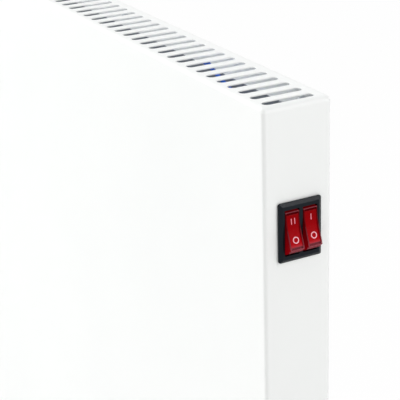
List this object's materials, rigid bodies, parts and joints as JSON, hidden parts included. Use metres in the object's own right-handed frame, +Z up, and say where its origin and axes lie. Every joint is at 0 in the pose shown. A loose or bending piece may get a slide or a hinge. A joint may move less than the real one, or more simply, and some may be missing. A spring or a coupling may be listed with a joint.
{
  "type": "convector heater",
  "caption": "Slim wall-hung electric convector: slotted white steel casing, heat shield, finned elements and a lit twin rocker switch in its right end.",
  "frame": {"origin": "centre of the wall rail's back face, on the wall plane", "axes": "+X along the casing towards the switch end, +Y into the wall, +Z up"},
  "size_m": [0.6473, 0.058, 0.45],
  "materials": {
    "white_enamel": "smooth semi-gloss powder coat",
    "zinc_steel": "zinc-coated sheet",
    "dark_steel": "heat-darkened sheet",
    "aluminium": "extruded",
    "sheath_steel": "drawn tube",
    "steatite": "unglazed ceramic",
    "nickel_brass": "nickel plated",
    "black_polyamide": "moulded, satin",
    "red_polycarbonate": "moulded, polished, lit from inside",
    "pale_polyamide": "moulded",
    "black_rubber": "moulded",
    "blue_silicone": "insulated lead",
    "brown_silicone": "insulated lead",
    "green_silicone": "insulated lead with a yellow stripe"
  },
  "bodies": {
    "heater": {"front_casing": "white_enamel", "rear_panel": "zinc_steel", "heat_shield": "dark_steel", "upright_left": "zinc_steel", "upright_right": "zinc_steel", "shield_grommet": "black_rubber", "element_fins_one": "aluminium", "element_fins_two": "aluminium", "element_rod_one": "sheath_steel", "element_rod_two": "sheath_steel", "element_bush_one_left": "steatite", "element_bush_one_right": "steatite", "element_bush_two_left": "steatite", "element_bush_two_right": "steatite", "element_bracket_left": "zinc_steel", "element_bracket_right": "zinc_steel", "overheat_cutout": "black_polyamide", "terminal_block": "pale_polyamide", "cable_gland": "black_polyamide", "gland_nut": "black_polyamide", "earth_screw": "zinc_steel", "earth_nut": "nickel_brass", "wall_spacer_left": "black_rubber", "wall_spacer_right": "black_rubber", "wall_rail": "zinc_steel", "switch_housing": "black_polyamide", "blade_neutral": "nickel_brass", "blade_line": "nickel_brass", "blade_stage_one": "nickel_brass", "blade_stage_two": "nickel_brass", "lead_neutral": "blue_silicone", "lead_neutral_return": "blue_silicone", "lead_stage_one": "brown_silicone", "lead_stage_two": "brown_silicone", "lead_switch_line": "brown_silicone", "lead_supply_line": "brown_silicone", "lead_earth": "green_silicone", "rear_screw_1": "zinc_steel", "rear_screw_2": "zinc_steel", "rear_screw_3": "zinc_steel", "rear_screw_4": "zinc_steel", "rear_screw_5": "zinc_steel", "rear_screw_6": "zinc_steel", "rear_screw_7": "zinc_steel", "rear_screw_8": "zinc_steel", "rear_screw_9": "zinc_steel", "rear_screw_10": "zinc_steel"},
    "rocker_one": {"rocker_stage_one": "red_polycarbonate"},
    "rocker_two": {"rocker_stage_two": "red_polycarbonate"}
  },
  "joints": [
    {"name": "rocker_one_tilt", "type": "hinge", "parent": "heater", "child": "rocker_one", "pos_m": [0.3185, -0.0335, -0.0042], "axis": [0, 1, 0], "range_deg": [0, 30]},
    {"name": "rocker_two_tilt", "type": "hinge", "parent": "heater", "child": "rocker_two", "pos_m": [0.3185, -0.0437, -0.0042], "axis": [0, 1, 0], "range_deg": [0, 30]}
  ]
}
